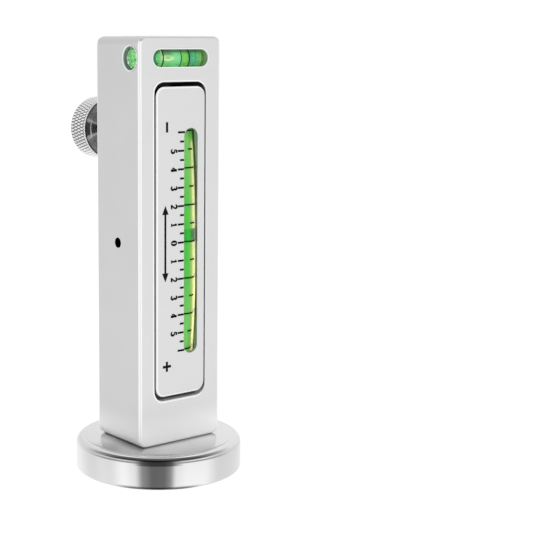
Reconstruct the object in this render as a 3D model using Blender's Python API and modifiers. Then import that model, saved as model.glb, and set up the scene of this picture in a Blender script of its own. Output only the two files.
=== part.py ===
# Camber gauge: an upright aluminium body on a round pot magnet. A rocker in the front of the body
# carries the scale and a curved bubble vial. It turns on a cross pin, a knurled thumb screw behind
# pushes its upper end, and a spring pushes its lower end back. A short cross vial lies at the top.
#
# Metres, +Z up the body. The origin is the centre of the magnet's underside, the scale faces -Y
# and the knob stands out to +Y.

import math

import bmesh
import bpy
from mathutils import Matrix, Vector

mm = 0.001

# Fits and cuts
seat_gap = 0.3 * mm
cut_overrun = 2 * mm
weld_distance = 0.01 * mm

# Facets
large_segments = 56
middle_segments = 28
small_segments = 16
corner_steps = 6
tube_ring_steps = 5
bore_ring_steps = 4

# Pot magnet
magnet_radius = 30 * mm
magnet_height = 11.5 * mm
magnet_top_round = 2.4 * mm
magnet_foot_round = 0.6 * mm
cup_wall = 4.2 * mm
cup_base = 3.6 * mm
pole_radius = 10 * mm
stud_radius = 4 * mm
stud_length = 14 * mm
potting_width = 1.4 * mm
potting_skin = 0.9 * mm
potting_setback = 0.2 * mm

# Body
body_width = 35.5 * mm
body_depth = 26 * mm
body_height = 143.5 * mm
body_corner = 3 * mm
body_edge = 0.9 * mm
side_wall = 6.5 * mm
end_wall = 15.65 * mm
pocket_corner = 4 * mm
mouth_chamfer = 0.3 * mm

# Rocker
rocker_side_gap = 0.55 * mm
rocker_end_gap = 1.6 * mm
plate_thickness = 2.4 * mm
plate_edge = 0.25 * mm
carrier_thickness = 11.9 * mm
carrier_clearance = 5.2 * mm
carrier_end_step = 1.4 * mm
carrier_edge = 0.4 * mm
slot_inset = 6.2 * mm
slot_width = 6 * mm
slot_end_inset = 14.4 * mm
slot_lip = 1.2 * mm

# Pivot
pivot_behind_front = 13 * mm
pin_radius = 1.55 * mm
pin_chamfer = 0.3 * mm
pin_depth = 2.2 * mm
pin_hole_floor = 2.4 * mm
bush_wall = 0.65 * mm
bush_length = 6 * mm
boss_wall = 1.5 * mm

# Camber vial
vial_radius = 4.1 * mm
vial_wall = 0.8 * mm
vial_bend_radius = 370 * mm
vial_end_inset = 11 * mm
vial_setback = 0.3 * mm
vial_steps = 14
channel_end_gap = 0.5 * mm
cap_flange = 1.2 * mm
cap_stem = 2.6 * mm
cushion_inset = 0.9 * mm
cushion_length = 2.6 * mm
cushion_width = 7.2 * mm
cushion_thickness = 1.5 * mm
camber_bubble_length = 9 * mm
camber_bubble_depth = 1.5 * mm
camber_bubble_rise = 2.4 * mm

# Fixings of the scale plate
plate_screw_radius = 1.25 * mm
plate_screw_head_radius = 2.2 * mm
plate_screw_head_height = 2 * mm
plate_screw_inset = 3.3 * mm
plate_screw_bite = 1.5 * mm

# Adjusting screw and knob
screw_below_top = 33.75 * mm
screw_radius = 3 * mm
screw_chamfer = 0.4 * mm
screw_countersink = 0.6 * mm
tip_radius = 2.3 * mm
tip_dome = 1.2 * mm
tip_length = 3.4 * mm
tip_stem_radius = 1.2 * mm
tip_stem_length = 2.4 * mm
pad_radius = 2.3 * mm
pad_thickness = 1.2 * mm
knob_gap = 17.5 * mm
knob_radius = 11.6 * mm
knob_thickness = 9.4 * mm
knob_chamfer = 0.7 * mm
knob_web = 1.6 * mm
knob_dish_radius = 8.2 * mm
knob_dish_depth = 0.6 * mm
knurl_count = 60
knurl_angle = math.radians(30)
knurl_depth = 0.35 * mm
grub_radius = 1.5 * mm
grub_setback = 1 * mm

# Return spring
spring_above_bottom = 33.75 * mm
spring_radius = 2.6 * mm
spring_wire_radius = 0.35 * mm
spring_turns = 5
spring_turn_points = 10
spring_pocket_floor = 2 * mm
spring_seat_depth = 1.2 * mm

# Cross vial
cross_vial_radius = 4.1 * mm
cross_vial_behind_front = 5.5 * mm
cross_vial_below_top = 7.5 * mm
cross_vial_setback = 1 * mm
cross_vial_end_wall = 4.1 * mm
cross_vial_chamfer = 0.9 * mm
cross_bore_chamfer = 0.25 * mm
chamber_radius = 2.7 * mm
chamber_wall = 3.6 * mm
cross_plug_length = 3 * mm
window_end_wall = 5.75 * mm
window_height = 6.1 * mm
cross_bubble_length = 7.4 * mm
cross_bubble_depth = 1.3 * mm
cross_bubble_shift = -1.2 * mm

# Places that follow from the sizes above
body_bottom = magnet_height + seat_gap
body_top = body_bottom + body_height
body_middle = body_bottom + body_height / 2
body_front = -body_depth / 2
body_back = body_depth / 2
body_side = body_width / 2
pocket_width = body_width - 2 * side_wall
pocket_height = body_height - 2 * end_wall
plate_width = pocket_width - 2 * rocker_side_gap
plate_height = pocket_height - 2 * rocker_end_gap
slot_offset = plate_width / 2 - slot_inset
slot_length = plate_height - 2 * slot_end_inset
vial_length = plate_height - 2 * vial_end_inset
plate_back = body_front + plate_thickness
lip_back = body_front + slot_lip
carrier_front = plate_back + seat_gap
carrier_back = carrier_front + carrier_thickness
pocket_floor = carrier_back + carrier_clearance
pivot_y = body_front + pivot_behind_front
carrier_height = plate_height - 2 * carrier_end_step
vial_axis = body_front + vial_setback + vial_radius
vial_half_angle = vial_length / 2 / vial_bend_radius
pin_hole_radius = pin_radius + seat_gap
bush_radius = pin_hole_radius + bush_wall
bush_hole_radius = bush_radius + seat_gap
boss_radius = bush_hole_radius + boss_wall
channel = vial_radius + seat_gap
cap_reach = (vial_bend_radius + vial_radius) * math.sin(vial_half_angle) + cap_flange + seat_gap
channel_end = cap_reach + channel_end_gap
screw_height = body_top - screw_below_top
spring_height = body_bottom + spring_above_bottom
screw_hole_radius = screw_radius + seat_gap
tip_front = carrier_back + seat_gap
screw_front = tip_front + tip_length + seat_gap
knob_face = body_back + knob_gap
cross_axis_y = body_front + cross_vial_behind_front
cross_axis_z = body_top - cross_vial_below_top
cross_vial_start = -body_side + cross_vial_setback
cross_vial_end = body_side - cross_vial_end_wall
window_length = body_width - 2 * window_end_wall
cross_bore_radius = cross_vial_radius + seat_gap

# Turns that lay a piece's own Z along another axis
along_z = Matrix.Identity(4)
along_x = Matrix.Rotation(math.radians(90), 4, "Y")
along_y = Matrix.Rotation(math.radians(-90), 4, "X")
facing_front = Matrix.Rotation(math.radians(90), 4, "X")


def clear_scene():
    for thing in list(bpy.data.objects):
        bpy.data.objects.remove(thing, do_unlink=True)


def new_collection(name):
    collection = bpy.data.collections.new(name)
    bpy.context.scene.collection.children.link(collection)
    return collection


def new_material(name, colour, roughness, metallic, transmission=0.0):
    material = bpy.data.materials.new(name)
    material.use_nodes = True
    shader = material.node_tree.nodes["Principled BSDF"]
    shader.inputs["Base Color"].default_value = (*colour, 1)
    shader.inputs["Roughness"].default_value = roughness
    shader.inputs["Metallic"].default_value = metallic
    shader.inputs["Transmission Weight"].default_value = transmission
    return material


clear_scene()
gauge = new_collection("camber_gauge")
cutters = new_collection("cutters")

blasted_aluminium = new_material("blasted_aluminium", (0.74, 0.74, 0.75), 0.5, 0.9)
plate_aluminium = new_material("plate_aluminium", (0.78, 0.78, 0.79), 0.55, 0.8)
milled_aluminium = new_material("milled_aluminium", (0.62, 0.62, 0.63), 0.4, 1.0)
plated_steel = new_material("plated_steel", (0.72, 0.72, 0.72), 0.18, 1.0)
turned_steel = new_material("turned_steel", (0.5, 0.5, 0.5), 0.25, 1.0)
hard_steel = new_material("hard_steel", (0.3, 0.3, 0.31), 0.3, 1.0)
black_steel = new_material("black_steel", (0.03, 0.03, 0.03), 0.45, 0.8)
spring_steel = new_material("spring_steel", (0.4, 0.4, 0.4), 0.3, 1.0)
bronze = new_material("bronze", (0.55, 0.36, 0.16), 0.4, 1.0)
ferrite = new_material("ferrite", (0.06, 0.06, 0.06), 0.7, 0.0)
resin = new_material("resin", (0.02, 0.02, 0.02), 0.5, 0.0)
clear_glass = new_material("clear_glass", (0.9, 0.95, 0.9), 0.05, 0.0, 0.9)
clear_acrylic = new_material("clear_acrylic", (0.6, 0.95, 0.6), 0.05, 0.0, 0.9)
green_liquid = new_material("green_liquid", (0.1, 0.75, 0.1), 0.1, 0.0, 0.5)
white_plastic = new_material("white_plastic", (0.85, 0.87, 0.82), 0.5, 0.0)
soft_rubber = new_material("soft_rubber", (0.12, 0.14, 0.12), 0.8, 0.0)


def add_object(name, data, turn=along_z, place=(0, 0, 0)):
    thing = bpy.data.objects.new(name, data)
    gauge.objects.link(thing)
    thing.matrix_world = Matrix.Translation(Vector(place)) @ turn
    return thing


def as_mesh(thing):
    # A curve becomes a mesh with its caps welded on, in the same place and under the same name.
    bpy.context.view_layer.update()
    graph = bpy.context.evaluated_depsgraph_get()
    mesh = bpy.data.meshes.new_from_object(thing.evaluated_get(graph))
    shape = bmesh.new()
    shape.from_mesh(mesh)
    bmesh.ops.remove_doubles(shape, verts=shape.verts, dist=weld_distance)
    bmesh.ops.recalc_face_normals(shape, faces=shape.faces)
    shape.to_mesh(mesh)
    shape.free()
    name = thing.name
    turn = thing.matrix_world.copy()
    bpy.data.objects.remove(thing, do_unlink=True)
    solid = add_object(name, mesh)
    solid.matrix_world = turn
    return solid


def rounded_outline(width, height, radius, middle=(0, 0)):
    # Four quarter arcs, counter-clockwise from the right-hand side.
    points = []
    for quarter, (side, end) in enumerate(((1, 1), (-1, 1), (-1, -1), (1, -1))):
        centre_x = middle[0] + side * (width / 2 - radius)
        centre_y = middle[1] + end * (height / 2 - radius)
        for step in range(corner_steps + 1):
            angle = math.radians(90) * (quarter + step / corner_steps)
            points.append((centre_x + radius * math.cos(angle), centre_y + radius * math.sin(angle)))
    return points


def flat_piece(name, outline, thickness, turn=along_z, place=(0, 0, 0), edge=0.0, edge_steps=0, inward=True):
    # An outline with thickness, centred on its place, with chamfered or rounded edges if asked.
    curve = bpy.data.curves.new(name, "CURVE")
    curve.dimensions = "2D"
    curve.fill_mode = "BOTH"
    curve.extrude = thickness / 2 - edge
    curve.bevel_depth = edge
    curve.bevel_resolution = edge_steps
    curve.offset = -edge if inward else 0
    spline = curve.splines.new("POLY")
    spline.points.add(len(outline) - 1)
    for point, (x, y) in zip(spline.points, outline):
        point.co = (x, y, 0, 1)
    spline.use_cyclic_u = True
    return as_mesh(add_object(name, curve, turn, place))


def tube_along(name, points, radius, ring_steps, turn=along_z, place=(0, 0, 0)):
    # A round bar with closed ends through a row of points.
    curve = bpy.data.curves.new(name, "CURVE")
    curve.dimensions = "3D"
    curve.bevel_depth = radius
    curve.bevel_resolution = ring_steps
    curve.use_fill_caps = True
    spline = curve.splines.new("POLY")
    spline.points.add(len(points) - 1)
    for point, (x, y, z) in zip(spline.points, points):
        point.co = (x, y, z, 1)
    return as_mesh(add_object(name, curve, turn, place))


def turned(name, profile, segments, turn=along_z, place=(0, 0, 0), ring=False):
    # A profile of (radius, height) points, top to bottom on its outer side, turned about its own Z.
    mesh = bpy.data.meshes.new(name)
    edges = [(n, n + 1) for n in range(len(profile) - 1)]
    if ring:
        edges.append((len(profile) - 1, 0))
    mesh.from_pydata([(radius, 0, height) for radius, height in profile], edges, [])
    thing = add_object(name, mesh, turn, place)
    screw = thing.modifiers.new("turned", "SCREW")
    screw.steps = segments
    screw.render_steps = segments
    screw.use_merge_vertices = True
    screw.merge_threshold = weld_distance
    return thing


def rod(name, radius, start, end, segments, turn=along_z, place=(0, 0, 0), chamfer=0.0):
    profile = [(0, end), (radius, end), (radius, start), (0, start)]
    if chamfer:
        profile = [(0, end), (radius - chamfer, end), (radius, end - chamfer)]
        profile += [(radius, start + chamfer), (radius - chamfer, start), (0, start)]
    return turned(name, profile, segments, turn, place)


def box(name, low, high):
    mesh = bpy.data.meshes.new(name)
    shape = bmesh.new()
    size = [b - a for a, b in zip(low, high)]
    bmesh.ops.create_cube(shape, size=1, matrix=Matrix.Diagonal((*size, 1)))
    shape.to_mesh(mesh)
    shape.free()
    return add_object(name, mesh, along_z, [(a + b) / 2 for a, b in zip(low, high)])


def ellipsoid(name, half_sizes, place):
    mesh = bpy.data.meshes.new(name)
    shape = bmesh.new()
    matrix = Matrix.Diagonal((*half_sizes, 1))
    bmesh.ops.create_uvsphere(shape, u_segments=small_segments, v_segments=small_segments, radius=1, matrix=matrix)
    shape.to_mesh(mesh)
    shape.free()
    return add_object(name, mesh, along_z, place)


def cut(thing, cutter, operation="DIFFERENCE"):
    boolean = thing.modifiers.new(cutter.name, "BOOLEAN")
    boolean.operation = operation
    boolean.object = cutter
    boolean.solver = "EXACT"
    if cutter.name not in cutters.objects:
        gauge.objects.unlink(cutter)
        cutters.objects.link(cutter)
    cutter.hide_render = True
    cutter.display_type = "WIRE"


def finish(thing, material, sharp_angle=35):
    # The modifiers' result is shaded smooth over its rounds and keeps its sharp edges.
    bpy.context.view_layer.update()
    graph = bpy.context.evaluated_depsgraph_get()
    mesh = bpy.data.meshes.new_from_object(thing.evaluated_get(graph))
    thing.modifiers.clear()
    thing.data = mesh
    mesh.name = thing.name
    mesh.materials.clear()
    mesh.materials.append(material)
    mesh.shade_smooth()
    mesh.set_sharp_from_angle(angle=math.radians(sharp_angle))
    return thing


def arc_point(angle, away=0.0):
    # A point of the vial's arc, in the plane through its axis, moved away from the arc's centre.
    radius = vial_bend_radius + away
    y = vial_axis + vial_bend_radius - radius * math.cos(angle)
    z = body_middle + radius * math.sin(angle)
    return y, z


def arc_bar(name, radius, half_angle, ring_steps):
    points = []
    for step in range(vial_steps + 1):
        y, z = arc_point(half_angle * (2 * step / vial_steps - 1))
        points.append((slot_offset, y, z))
    return tube_along(name, points, radius, ring_steps)


# Pot magnet: a steel cup, a ring magnet round a steel pole, and resin between them


def rounded_rim(radius, top, fillet, rising):
    # Points of the fillet between a wall of this radius and the flat face at this height.
    points = []
    for step in range(corner_steps + 1):
        angle = math.radians(90) * (1 - step / corner_steps)
        points.append((radius - fillet + fillet * math.cos(angle), top - fillet + fillet * math.sin(angle)))
    if not rising:
        return points
    return [(x, 2 * top - z) for x, z in reversed(points)]


def make_magnet():
    inner_top = magnet_height - cup_base
    cup_inside = magnet_radius - cup_wall
    profile = rounded_rim(magnet_radius, magnet_height, magnet_top_round, False)
    profile += rounded_rim(magnet_radius, 0, magnet_foot_round, True)
    profile += [(cup_inside, 0), (cup_inside, inner_top)]
    profile += [(stud_radius + seat_gap, inner_top), (stud_radius + seat_gap, magnet_height)]
    finish(turned("magnet_cup", profile, large_segments, ring=True), plated_steel)

    pole_top = inner_top - seat_gap
    pole = [(0, magnet_height + stud_length), (stud_radius, magnet_height + stud_length)]
    pole += [(stud_radius, pole_top), (pole_radius, pole_top), (pole_radius, 0), (0, 0)]
    finish(turned("magnet_pole", pole, middle_segments), plated_steel)

    ring_outside = cup_inside - potting_width
    ring_inside = pole_radius + seat_gap
    ring_bottom = potting_skin + seat_gap
    ring = [(ring_outside, pole_top), (ring_outside, ring_bottom)]
    ring += [(ring_inside, ring_bottom), (ring_inside, pole_top)]
    finish(turned("magnet_ring", ring, large_segments, ring=True), ferrite)

    resin_inside = ring_outside + seat_gap
    resin_outside = cup_inside - seat_gap
    potting = [(resin_outside, pole_top), (resin_outside, potting_setback)]
    potting += [(ring_inside, potting_setback), (ring_inside, potting_skin)]
    potting += [(resin_inside, potting_skin), (resin_inside, pole_top)]
    finish(turned("magnet_potting", potting, large_segments, ring=True), resin)


# Body: one milled bar with the rocker's pocket, the cross vial's bore and window, and the bores
# for the cross pin, the thumb screw, the return spring and the magnet's stud


def mouth(name, outline, turn, place):
    # A cutter that breaks the edge of an opening whose outline lies in the face at its place.
    return flat_piece(name, outline, 2 * (cut_overrun + mouth_chamfer), turn, place, mouth_chamfer, 0, False)


def make_body():
    front = Vector((0, body_front, body_middle))
    outline = rounded_outline(body_width, body_height, body_corner)
    body = flat_piece("body", outline, body_depth, facing_front, (0, 0, body_middle), body_edge, 2)

    pocket = rounded_outline(pocket_width, pocket_height, pocket_corner)
    pocket_deep = pocket_floor - body_front + cut_overrun
    pocket_centre = Vector((0, pocket_floor - pocket_deep / 2, body_middle))
    cut(body, flat_piece("pocket", pocket, pocket_deep, facing_front, pocket_centre))
    cut(body, mouth("pocket_mouth", pocket, facing_front, front - Vector((0, cut_overrun, 0))))

    window = rounded_outline(window_length, window_height, window_height / 2)
    window_centre = Vector((0, body_front, cross_axis_z))
    window_deep = cross_vial_behind_front + cut_overrun
    window_middle = window_centre + Vector((0, window_deep / 2 - cut_overrun, 0))
    cut(body, flat_piece("window", window, window_deep, facing_front, window_middle))
    cut(body, mouth("window_mouth", window, facing_front, window_centre - Vector((0, cut_overrun, 0))))

    bore_start = -body_side - cut_overrun
    bore_end = cross_vial_end + seat_gap
    bore_place = (0, cross_axis_y, cross_axis_z)
    cut(body, rod("cross_bore", cross_bore_radius, bore_start, bore_end, middle_segments, along_x, bore_place))
    wide = cross_bore_radius + cross_bore_chamfer
    flare = [(0, -body_side + cross_bore_chamfer), (cross_bore_radius, -body_side + cross_bore_chamfer)]
    flare += [(wide, -body_side), (wide, bore_start), (0, bore_start)]
    cut(body, turned("cross_bore_mouth", flare, middle_segments, along_x, bore_place))

    pin_end = body_side - pin_hole_floor
    pin_place = (0, pivot_y, body_middle)
    cut(body, rod("pin_hole", pin_hole_radius, bore_start, pin_end, small_segments, along_x, pin_place))

    out = body_back + cut_overrun
    screw_place = (0, 0, screw_height)
    cut(body, rod("screw_hole", screw_hole_radius, 0, out, middle_segments, along_y, screw_place))
    sink_wide = screw_hole_radius + screw_countersink
    sink = [(0, out), (sink_wide, out), (sink_wide, body_back)]
    sink += [(screw_hole_radius, body_back - screw_countersink), (0, body_back - screw_countersink)]
    cut(body, turned("screw_hole_mouth", sink, middle_segments, along_y, screw_place))

    spring_room = spring_radius + spring_wire_radius + seat_gap
    spring_end = body_back - spring_pocket_floor
    cut(body, rod("spring_pocket", spring_room, 0, spring_end, middle_segments, along_y, (0, 0, spring_height)))

    stud_end = magnet_height + stud_length + seat_gap
    stud_start = body_bottom - cut_overrun
    cut(body, rod("stud_hole", stud_radius + seat_gap, stud_start, stud_end, middle_segments))
    return finish(body, blasted_aluminium)


# Rocker: the scale plate and the carrier behind it, with the camber vial clamped between them


def screw_places():
    side = plate_width / 2 - plate_screw_inset
    end = carrier_height / 2 - plate_screw_inset
    return [(x, body_middle + z) for x in (-side, side) for z in (-end, end)]


def make_plate():
    outline = rounded_outline(plate_width, plate_height, pocket_corner - rocker_side_gap)
    centre = (0, body_front + plate_thickness / 2, body_middle)
    plate = flat_piece("scale_plate", outline, plate_thickness, facing_front, centre, plate_edge)
    slot = rounded_outline(slot_width, slot_length, slot_width / 2, (slot_offset, 0))
    cut(plate, flat_piece("slot", slot, plate_thickness + 2 * cut_overrun, facing_front, centre))
    # Behind the slot's lips a relief makes room for the vial, which is wider than the slot.
    low = (slot_offset - channel, lip_back, body_middle - channel_end)
    high = (slot_offset + channel, plate_back + cut_overrun, body_middle + channel_end)
    cut(plate, box("relief", low, high))
    hole = plate_screw_radius + seat_gap
    for number, (x, z) in enumerate(screw_places()):
        deep = plate_back - plate_screw_bite - seat_gap
        cutter = rod(f"plate_thread_{number}", hole, deep, plate_back + cut_overrun, small_segments, along_y, (x, 0, z))
        cut(plate, cutter)
    return finish(plate, plate_aluminium)


def cushion_corners(side, margin=0.0):
    # The block of a cushion, from the vial's middle to its thickness behind the vial.
    y, vial_end = arc_point(side * vial_half_angle)
    z_out = vial_end - side * cushion_inset
    z_in = z_out - side * cushion_length
    half_width = cushion_width / 2 + margin
    low = (slot_offset - half_width, y, min(z_in, z_out) - margin)
    high = (slot_offset + half_width, y + vial_radius + cushion_thickness + margin, max(z_in, z_out) + margin)
    return low, high


def make_carrier():
    outline = rounded_outline(plate_width, carrier_height, pocket_corner - rocker_side_gap)
    thickness = carrier_back - carrier_front
    centre = (0, (carrier_front + carrier_back) / 2, body_middle)
    carrier = flat_piece("vial_carrier", outline, thickness, facing_front, centre, carrier_edge)
    boss_end = plate_width / 2 - carrier_edge
    boss = rod("boss", boss_radius, -boss_end, boss_end, middle_segments, along_x, (0, pivot_y, body_middle))
    cut(carrier, boss, "UNION")

    # The vial's channel is open to the front and its floor follows the vial's bend.
    channel_half_angle = math.asin(channel_end / (vial_bend_radius - channel))
    side = []
    for step in range(vial_steps + 1):
        y, z = arc_point(channel_half_angle * (2 * step / vial_steps - 1), -channel)
        side.append((y, z - body_middle))
    mouth_y = carrier_front - cut_overrun
    side += [(mouth_y, side[-1][1]), (mouth_y, side[0][1])]
    sideways = Matrix.Rotation(math.radians(90), 4, "Z") @ Matrix.Rotation(math.radians(90), 4, "X")
    cut(carrier, flat_piece("channel", side, 2 * channel, sideways, (slot_offset, 0, body_middle)))

    for end, side in (("upper", 1), ("lower", -1)):
        low, high = cushion_corners(side, seat_gap)
        cut(carrier, box(f"cushion_seat_{end}", low, high))

    half = plate_width / 2 + cut_overrun
    pivot = (0, pivot_y, body_middle)
    cut(carrier, rod("bush_bore", bush_hole_radius, -half, half, small_segments, along_x, pivot))
    out = carrier_back + cut_overrun
    pad_floor = carrier_back - pad_thickness - seat_gap
    pad_hole = pad_radius + seat_gap
    cut(carrier, rod("pad_seat", pad_hole, pad_floor, out, small_segments, along_y, (0, 0, screw_height)))
    spring_room = spring_radius + spring_wire_radius + seat_gap
    seat_floor = carrier_back - spring_seat_depth
    cut(carrier, rod("spring_seat", spring_room, seat_floor, out, small_segments, along_y, (0, 0, spring_height)))
    head = plate_screw_head_radius + seat_gap
    shank = plate_screw_radius + seat_gap
    head_floor = carrier_back - plate_screw_head_height - seat_gap
    start = carrier_front - cut_overrun
    stepped = [(0, out), (head, out), (head, head_floor), (shank, head_floor), (shank, start), (0, start)]
    for number, (x, z) in enumerate(screw_places()):
        cut(carrier, turned(f"screw_way_{number}", stepped, small_segments, along_y, (x, 0, z)))
    return finish(carrier, milled_aluminium)


def make_plate_screws():
    screws = []
    head_top = carrier_back - seat_gap
    head_bottom = carrier_back - plate_screw_head_height
    start = plate_back - plate_screw_bite
    profile = [(0, head_top), (plate_screw_head_radius, head_top), (plate_screw_head_radius, head_bottom)]
    profile += [(plate_screw_radius, head_bottom), (plate_screw_radius, start), (0, start)]
    for number, (x, z) in enumerate(screw_places()):
        screw = turned(f"plate_screw_{number + 1}", profile, small_segments, along_y, (x, 0, z))
        screws.append(finish(screw, black_steel))
    return screws


def make_bushes():
    bushes = []
    outer_end = plate_width / 2
    for name, side in (("pivot_bush_left", -1), ("pivot_bush_right", 1)):
        low, high = sorted((side * outer_end, side * (outer_end - bush_length)))
        ring = [(bush_radius, high), (bush_radius, low), (pin_hole_radius, low), (pin_hole_radius, high)]
        bush = turned(name, ring, small_segments, along_x, (0, pivot_y, body_middle), ring=True)
        bushes.append(finish(bush, bronze))
    return bushes


def make_thrust_pad():
    back = carrier_back
    pad = rod("thrust_pad", pad_radius, back - pad_thickness, back, small_segments, along_y, (0, 0, screw_height))
    return finish(pad, hard_steel)


def make_camber_vial():
    bore = vial_radius - vial_wall
    tube = arc_bar("camber_vial_tube", vial_radius, vial_half_angle, tube_ring_steps)
    tube_overrun = cut_overrun / vial_bend_radius
    cut(tube, arc_bar("vial_bore", bore, vial_half_angle + tube_overrun, bore_ring_steps))
    pieces = [finish(tube, clear_glass)]

    stem_angle = (cap_stem + seat_gap) / vial_bend_radius
    fill = bore - seat_gap
    liquid = arc_bar("camber_vial_liquid", fill, vial_half_angle - stem_angle, bore_ring_steps)
    bubble_y = vial_axis - fill
    half_sizes = (fill, camber_bubble_depth, camber_bubble_length / 2)
    place = (slot_offset, bubble_y, body_middle + camber_bubble_rise)
    cut(liquid, ellipsoid("camber_bubble", half_sizes, place))
    pieces.append(finish(liquid, green_liquid))

    top = seat_gap + cap_flange
    profile = [(0, top), (vial_radius, top), (vial_radius, seat_gap), (fill, seat_gap)]
    profile += [(fill, -cap_stem), (0, -cap_stem)]
    for name, side in (("camber_vial_cap_upper", 1), ("camber_vial_cap_lower", -1)):
        y, z = arc_point(side * vial_half_angle)
        # The cap looks along the arc's end, which leans back from the body's own axis.
        lean = Matrix.Rotation(-side * vial_half_angle, 4, "X")
        turn = lean if side > 0 else lean @ Matrix.Rotation(math.radians(180), 4, "X")
        cap = turned(name, profile, small_segments, turn, (slot_offset, y, z))
        pieces.append(finish(cap, white_plastic))
    return pieces


def make_cushions():
    cushions = []
    clear = arc_bar("cushion_saddle", vial_radius + seat_gap, vial_half_angle, tube_ring_steps)
    for name, side in (("vial_cushion_upper", 1), ("vial_cushion_lower", -1)):
        cushion = box(name, *cushion_corners(side))
        cut(cushion, clear)
        cushions.append(finish(cushion, soft_rubber))
    return cushions


# Pivot pin in the body's side walls


def make_pin():
    start = -body_side + pin_depth
    end = body_side - pin_hole_floor - seat_gap
    pin = rod("pivot_pin", pin_radius, start, end, small_segments, along_x, (0, pivot_y, body_middle), pin_chamfer)
    return finish(pin, black_steel)


# Thumb screw: a foot that doesn't turn, the screw and its knurled knob


def make_tip():
    # The domed foot meets the pad, and its stem turns freely in the end of the screw.
    dome_radius = (tip_radius**2 + tip_dome**2) / (2 * tip_dome)
    back = tip_front + tip_length
    profile = [(0, back + tip_stem_length), (tip_stem_radius, back + tip_stem_length)]
    profile += [(tip_stem_radius, back), (tip_radius, back)]
    reach = math.asin(tip_radius / dome_radius)
    for step in range(corner_steps + 1):
        angle = reach * (1 - step / corner_steps)
        profile.append((dome_radius * math.sin(angle), tip_front + dome_radius * (1 - math.cos(angle))))
    tip = turned("screw_tip", profile, small_segments, along_y, (0, 0, screw_height))
    return finish(tip, hard_steel)


def make_screw():
    bore = tip_stem_radius + seat_gap
    bore_end = screw_front + tip_stem_length
    end = knob_face + knob_thickness - knob_web - seat_gap
    neck = screw_radius - screw_chamfer
    profile = [(0, end), (neck, end), (screw_radius, end - screw_chamfer)]
    profile += [(screw_radius, screw_front + screw_chamfer), (neck, screw_front)]
    profile += [(bore, screw_front), (bore, bore_end), (0, bore_end)]
    screw = turned("adjusting_screw", profile, middle_segments, along_y, (0, 0, screw_height))
    return finish(screw, turned_steel)


def raise_knurl(knob, low, high, rows):
    # Every other point of the knurled band is pressed in, and the dips are joined slantwise. Two sets
    # of helical grooves then cross and leave diamond points between them.
    shape = bmesh.new()
    shape.from_mesh(knob.data)
    step = (high - low) / rows
    turn = 2 * math.pi / (2 * knurl_count)
    band = {}
    for vertex in shape.verts:
        radius = math.hypot(vertex.co.x, vertex.co.y)
        near = weld_distance
        if radius > knob_radius - near and low - near < vertex.co.z < high + near:
            row = round((vertex.co.z - low) / step)
            place = round(math.atan2(vertex.co.y, vertex.co.x) / turn) % (2 * knurl_count)
            band[vertex] = (row + place) % 2
    for face in list(shape.faces):
        if all(vertex in band for vertex in face.verts):
            dips = [vertex for vertex in face.verts if band[vertex]]
            bmesh.utils.face_split(face, dips[0], dips[1])
    for vertex, dip in band.items():
        if dip:
            vertex.co.x *= 1 - knurl_depth / knob_radius
            vertex.co.y *= 1 - knurl_depth / knob_radius
    shape.to_mesh(knob.data)
    shape.free()


def make_knob():
    back = knob_thickness
    low = knob_chamfer
    high = knob_thickness - knob_chamfer
    diamond_width = 2 * math.pi * knob_radius / knurl_count
    diamond_length = diamond_width / math.tan(knurl_angle)
    rows = 2 * round((high - low) / diamond_length)
    bore_end = knob_thickness - knob_web
    bore = screw_radius + seat_gap
    inset = knob_radius - knob_chamfer
    profile = [(0, back), (inset, back)]
    profile += [(knob_radius, high + (low - high) * row / rows) for row in range(rows + 1)]
    profile += [(inset, 0), (knob_dish_radius, 0), (knob_dish_radius - knob_dish_depth, knob_dish_depth)]
    profile += [(bore, knob_dish_depth), (bore, bore_end), (0, bore_end)]
    knob = turned("knob", profile, 2 * knurl_count, along_y, (0, knob_face, screw_height))
    finish(knob, turned_steel)
    raise_knurl(knob, low, high, rows)
    middle = knob_face + knob_thickness / 2
    grub_place = (0, middle, screw_height)
    out = knob_radius + cut_overrun
    cut(knob, rod("grub_hole", grub_radius + seat_gap, 0, out, small_segments, along_x, grub_place))
    finish(knob, turned_steel, 20)

    start = screw_radius + seat_gap
    end = knob_radius - grub_setback
    grub = rod("knob_grub_screw", grub_radius, start, end, small_segments, along_x, grub_place)
    return [knob, finish(grub, black_steel)]


# Return spring between the body's back wall and the rocker's lower end


def make_spring():
    start = carrier_back - spring_seat_depth + seat_gap + spring_wire_radius
    end = body_back - spring_pocket_floor - seat_gap - spring_wire_radius
    count = spring_turns * spring_turn_points
    points = []
    for number in range(count + 1):
        angle = 2 * math.pi * number / spring_turn_points
        y = start + (end - start) * number / count
        points.append((spring_radius * math.cos(angle), y, spring_radius * math.sin(angle)))
    spring = tube_along("return_spring", points, spring_wire_radius, 1, along_z, (0, 0, spring_height))
    turn_gap = (end - start) / spring_turns - 2 * spring_wire_radius
    print(f"least gap between the spring's turns {turn_gap / mm:.2f} mm")
    return finish(spring, spring_steel)


# Cross vial: a clear barrel with a chamber, closed by a plug


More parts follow.
